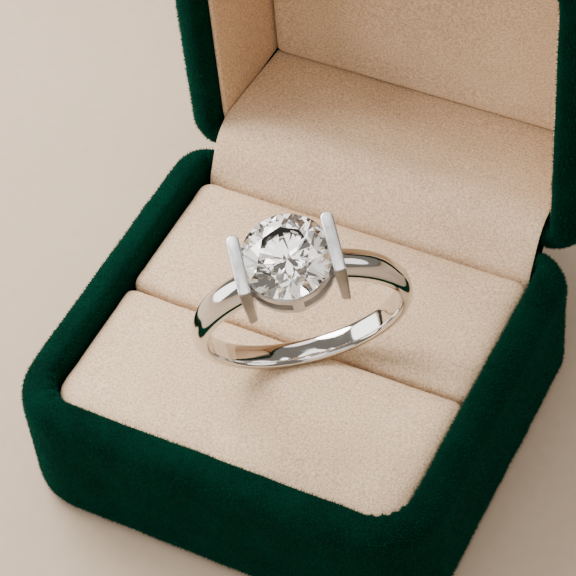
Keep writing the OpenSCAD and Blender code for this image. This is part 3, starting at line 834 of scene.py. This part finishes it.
# Each look has the inputs of its group, and then what is set on the shader itself.
nap, polish = napGroup(), polishGroup()
looks = {
    "velvet": (nap, {"Grains": 6000, "Patches": 260, "Relief": 0.5, "Mottling": 0.45,
                     "Dark": (0.0, 0.008, 0.0045, 1), "Light": (0.0, 0.024, 0.013, 1)},
               {"Sheen Weight": 0.15, "Sheen Roughness": 0.35, "Sheen Tint": (0.0, 0.5, 0.32, 1),
                "Specular IOR Level": 0.02}),
    "velvetFibre": (nap, {"Grains": 3000, "Patches": 240, "Relief": 0.0, "Mottling": 0.5,
                          "Dark": (0.0, 0.01, 0.006, 1), "Light": (0.0, 0.042, 0.023, 1)},
                    {"Sheen Weight": 0.3, "Sheen Roughness": 0.5, "Sheen Tint": (0.0, 0.6, 0.38, 1),
                     "Specular IOR Level": 0.02}),
    "suede": (nap, {"Grains": 4800, "Patches": 130, "Relief": 0.9, "Mottling": 0.2,
                    "Dark": (0.46, 0.315, 0.195, 1), "Light": (0.86, 0.65, 0.445, 1)},
              {"Sheen Weight": 0.1, "Sheen Roughness": 0.5, "Sheen Tint": (1, 0.8, 0.6, 1),
               "Specular IOR Level": 0.05}),
    "whiteMetal": (polish, {"Low": 0.05, "High": 0.1, "Relief": 0.08},
                   {"Base Color": (0.73, 0.715, 0.695, 1), "Metallic": 1}),
    "satinMetal": (polish, {"Low": 0.26, "High": 0.38, "Relief": 0.15},
                   {"Base Color": (0.62, 0.63, 0.645, 1), "Metallic": 1}),
    # Brushed metal whose dark base colour is painted shade, for the bars' ends and the gallery's inside.
    "brushedMetalPaintedShade": (polish, {"Low": 0.3, "High": 0.45, "Relief": 0.25},
                     {"Base Color": (0.36, 0.355, 0.35, 1), "Metallic": 1}),
    "steel": (polish, {"Low": 0.25, "High": 0.4, "Relief": 0.2},
              {"Base Color": (0.5, 0.49, 0.47, 1), "Metallic": 1}),
    "clearStone": (polish, {"Low": 0.0, "High": 0.004, "Relief": 0.0},
                   {"Base Color": (1, 1, 1, 1), "Transmission Weight": 1, "IOR": 2.42}),
    "paleGround": (nap, {"Grains": 900, "Patches": 12, "Relief": 0.05, "Mottling": 0.7,
                         "Dark": (0.46, 0.35, 0.25, 1), "Light": (0.54, 0.42, 0.31, 1)}, {}),
}
made = {name: newMaterial(name, *look) for name, look in looks.items()}
for piece in (baseVelvet, lidVelvet):
    piece.data.materials.append(made["velvet"])
for piece in (frontPad, rearPad, hingeCover, lidLining, lidPanel):
    piece.data.materials.append(made["suede"])
for name in ("whiteMetal", "satinMetal", "brushedMetalPaintedShade"):
    ringMetal.data.materials.append(made[name])
brilliant.data.materials.append(made["clearStone"])
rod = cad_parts["hinge_rod"]
rod.data.materials.clear()
rod.data.materials.append(made["steel"])

print("pile")
fibres = pileTree()
basePile = growPile("basePile", baseVelvet, fibres, made["velvetFibre"], 1.0)
lidPile = growPile("lidPile", lidVelvet, fibres, made["velvetFibre"], pile["lidShare"])
for piece in (basePile, lidPile):
    print(" ", piece.name, len(piece.data.polygons), "triangles")

print("bodies and nodes")
for piece, body in ((baseVelvet, "box"), (basePile, "box"), (frontPad, "box"), (rearPad, "box"),
                    (ringMetal, "box"), (brilliant, "box"), (lidVelvet, "lid"), (lidPile, "lid"),
                    (lidLining, "lid"), (lidPanel, "lid")):
    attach(piece, body)
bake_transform(hingeCover)
for piece, node, slotName in (
        (baseVelvet, "base_shell", "green_velvet"), (lidVelvet, "lid_shell", "green_velvet"),
        (frontPad, "front_pad", "cream_suede"), (rearPad, "rear_pad", "cream_suede"),
        (hingeCover, "hinge_cover", "cream_suede"), (lidLining, "lid_lining", "cream_suede"),
        (lidPanel, "lid_panel", "cream_suede"), (ringMetal, "ring_mount", "white_metal"),
        (brilliant, "stone", "clear_stone")):
    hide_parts(node)

print("stage, light and camera")
stage = dict(half=900, level=-0.3)
a, z = stage["half"], stage["level"]
floor = addPiece("floor", [(-a, -a, z), (a, -a, z), (a, a, z), (-a, a, z)], [(0, 1, 2, 3)])
floor.data.materials.append(made["paleGround"])

# Round soft lamps, all turned to the box. Places are in millimetres, sizes in metres.
lamps = {
    "key": dict(place=(-82, 14, 104), size=0.08, power=0.27, color=(1, 0.97, 0.94)),
    "sky": dict(place=(-140, 230, 330), size=0.42, power=1.05, color=(1, 0.975, 0.945)),
    "card left": dict(place=(-255, -125, 55), size=0.3, power=0.9, color=(1, 0.99, 0.98)),
    "card right": dict(place=(290, 110, 180), size=0.24, power=0.3, color=(1, 0.98, 0.95)),
    "sparkle": dict(place=(36, -88, 320), size=0.23, power=0.4, color=(1, 0.96, 0.91)),
    "glint left": dict(place=(-75, -120, 285), size=0.05, power=0.03, color=(1, 0.98, 0.95)),
    "glint right": dict(place=(130, 70, 290), size=0.05, power=0.03, color=(1, 0.98, 0.95)),
    "fill": dict(place=(100, -330, 180), size=0.4, power=0.42, color=(1, 0.92, 0.82)),
}
studio = dict(aim=(0, 4, 12), color=(0.9, 0.82, 0.72, 1), strength=0.27)


def addLight(name, place, size, power, color):
    light = bpy.data.lights.new(name, "AREA")
    light.shape, light.size, light.energy, light.color = "DISK", size, power, color
    lamp = addObject(name, light)
    lamp.location = Vector(place) * mm
    lamp.rotation_mode = "QUATERNION"
    lamp.rotation_quaternion = ((Vector(studio["aim"]) - Vector(place)) * mm).to_track_quat("-Z", "Y")


for name, lamp in lamps.items():
    addLight(name, **lamp)
world = bpy.data.worlds.new("studio")
world.use_nodes = True
world.node_tree.nodes["Background"].inputs["Color"].default_value = studio["color"]
world.node_tree.nodes["Background"].inputs["Strength"].default_value = studio["strength"]
bpy.context.scene.world = world

view = dict(lens=123.4, sensor=36, place=(61.70, -99.56, 155.55), right=(0.8902, 0.4496, -0.0728),
            up=(-0.3003, 0.6997, 0.6482), ahead=(-0.3424, 0.5552, -0.7579))
lens = bpy.data.cameras.new("camera")
lens.lens, lens.sensor_width, lens.clip_start, lens.clip_end = view["lens"], view["sensor"], 0.01, 10
camera = addObject("camera", lens)
axes = Matrix((view["right"], view["up"], [-v for v in view["ahead"]])).transposed()
camera.matrix_world = Matrix.Translation(Vector(view["place"]) * mm) @ axes.to_4x4()
bpy.context.scene.camera = camera
